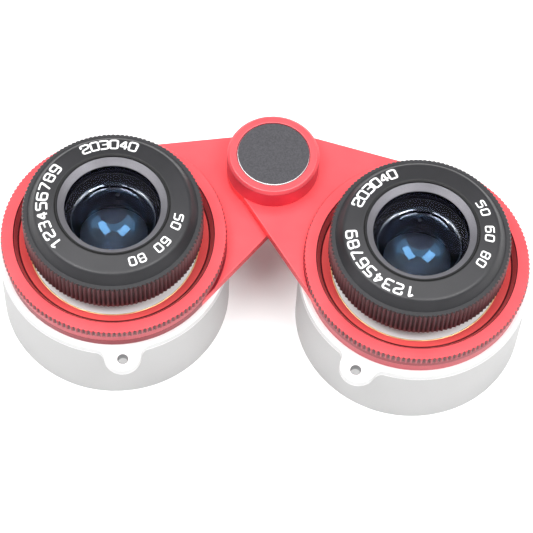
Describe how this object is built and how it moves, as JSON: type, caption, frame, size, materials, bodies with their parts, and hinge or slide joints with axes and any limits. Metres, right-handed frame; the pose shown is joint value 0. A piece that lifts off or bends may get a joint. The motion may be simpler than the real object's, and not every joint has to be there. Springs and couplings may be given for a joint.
{
  "type": "wide-field stargazing binocular",
  "caption": "Low-power wide-field binocular with short wide objective tubes, knurled eye cups, flat hinged bridge arms and drilled strap lugs.",
  "frame": {"origin": "middle of the outside box, at the height of the objective rims it stands on", "axes": "+Z along the optical axes from the objectives to the eyes, +X from the left barrel to the right one, +Y towards the bridge hinge"},
  "size_m": [0.1243, 0.0654, 0.0419],
  "materials": {
    "anodised_red": "satin red anodised aluminium",
    "silver_aluminium": "fine bead-blasted clear anodised aluminium",
    "black_anodised": "satin black anodised aluminium",
    "lens_glass": "polished, blue anti-reflection coating",
    "steel": "turned",
    "brass": "turned",
    "slip_plastic": "smooth, slippery"
  },
  "bodies": {
    "left_barrel": {"left_objective_tube": "silver_aluminium", "left_strap_ring": "silver_aluminium", "left_arm": "anodised_red", "left_arm_spacer": "anodised_red", "left_neck_sleeve": "anodised_red", "left_objective_cell": "black_anodised", "left_objective_front_lens": "lens_glass", "left_objective_rear_lens": "lens_glass", "left_objective_retaining_ring": "black_anodised", "left_focus_tube": "black_anodised", "left_guide_pin": "steel", "hinge_axle": "steel", "hinge_shim": "slip_plastic", "hinge_nut": "black_anodised"},
    "left_clamp": {"left_clamp_ring": "anodised_red"},
    "left_eyepiece": {"left_eyepiece_slide": "black_anodised", "left_eye_lens_cell": "black_anodised", "left_eye_lens": "lens_glass", "left_eye_retaining_ring": "black_anodised"},
    "left_cup": {"left_focus_cup": "black_anodised"},
    "right_barrel": {"right_objective_tube": "silver_aluminium", "right_strap_ring": "silver_aluminium", "right_arm": "anodised_red", "right_arm_spacer": "anodised_red", "right_neck_sleeve": "anodised_red", "right_objective_cell": "black_anodised", "right_objective_front_lens": "lens_glass", "right_objective_rear_lens": "lens_glass", "right_objective_retaining_ring": "black_anodised", "right_focus_tube": "black_anodised", "right_guide_pin": "steel", "hinge_cap": "anodised_red", "hinge_disc": "black_anodised", "hinge_bush": "brass", "hinge_spring_washer": "steel"},
    "right_clamp": {"right_clamp_ring": "anodised_red"},
    "right_eyepiece": {"right_eyepiece_slide": "black_anodised", "right_eye_lens_cell": "black_anodised", "right_eye_lens": "lens_glass", "right_eye_retaining_ring": "black_anodised"},
    "right_cup": {"right_focus_cup": "black_anodised"}
  },
  "joints": [
    {"name": "interpupillary_hinge", "type": "hinge", "parent": "left_barrel", "child": "right_barrel", "pos_m": [0, 0.02183, 0.024], "axis": [0, 0, 1], "range_deg": [-27, 17]},
    {"name": "left_focus_travel", "type": "slide", "parent": "left_barrel", "child": "left_eyepiece", "axis": [0, 0, 1], "range_m": [-0.002, 0.004]},
    {"name": "left_focus_turn", "type": "hinge", "parent": "left_eyepiece", "child": "left_cup", "pos_m": [-0.03515, -0.0008, 0.035], "axis": [0, 0, 1], "range_deg": [-90, 180]},
    {"name": "left_clamp_turn", "type": "hinge", "parent": "left_barrel", "child": "left_clamp", "pos_m": [-0.03515, -0.0008, 0.0275], "axis": [0, 0, 1], "range_deg": [0, 60]},
    {"name": "right_focus_travel", "type": "slide", "parent": "right_barrel", "child": "right_eyepiece", "axis": [0, 0, 1], "range_m": [-0.002, 0.004]},
    {"name": "right_focus_turn", "type": "hinge", "parent": "right_eyepiece", "child": "right_cup", "pos_m": [0.03515, -0.0008, 0.035], "axis": [0, 0, 1], "range_deg": [-90, 180]},
    {"name": "right_clamp_turn", "type": "hinge", "parent": "right_barrel", "child": "right_clamp", "pos_m": [0.03515, -0.0008, 0.0275], "axis": [0, 0, 1], "range_deg": [0, 60]}
  ],
  "couplings": [
    {"joint": "left_focus_travel", "follows": "left_focus_turn", "m_per_rad": 0.001273},
    {"joint": "right_focus_travel", "follows": "right_focus_turn", "m_per_rad": 0.001273}
  ]
}
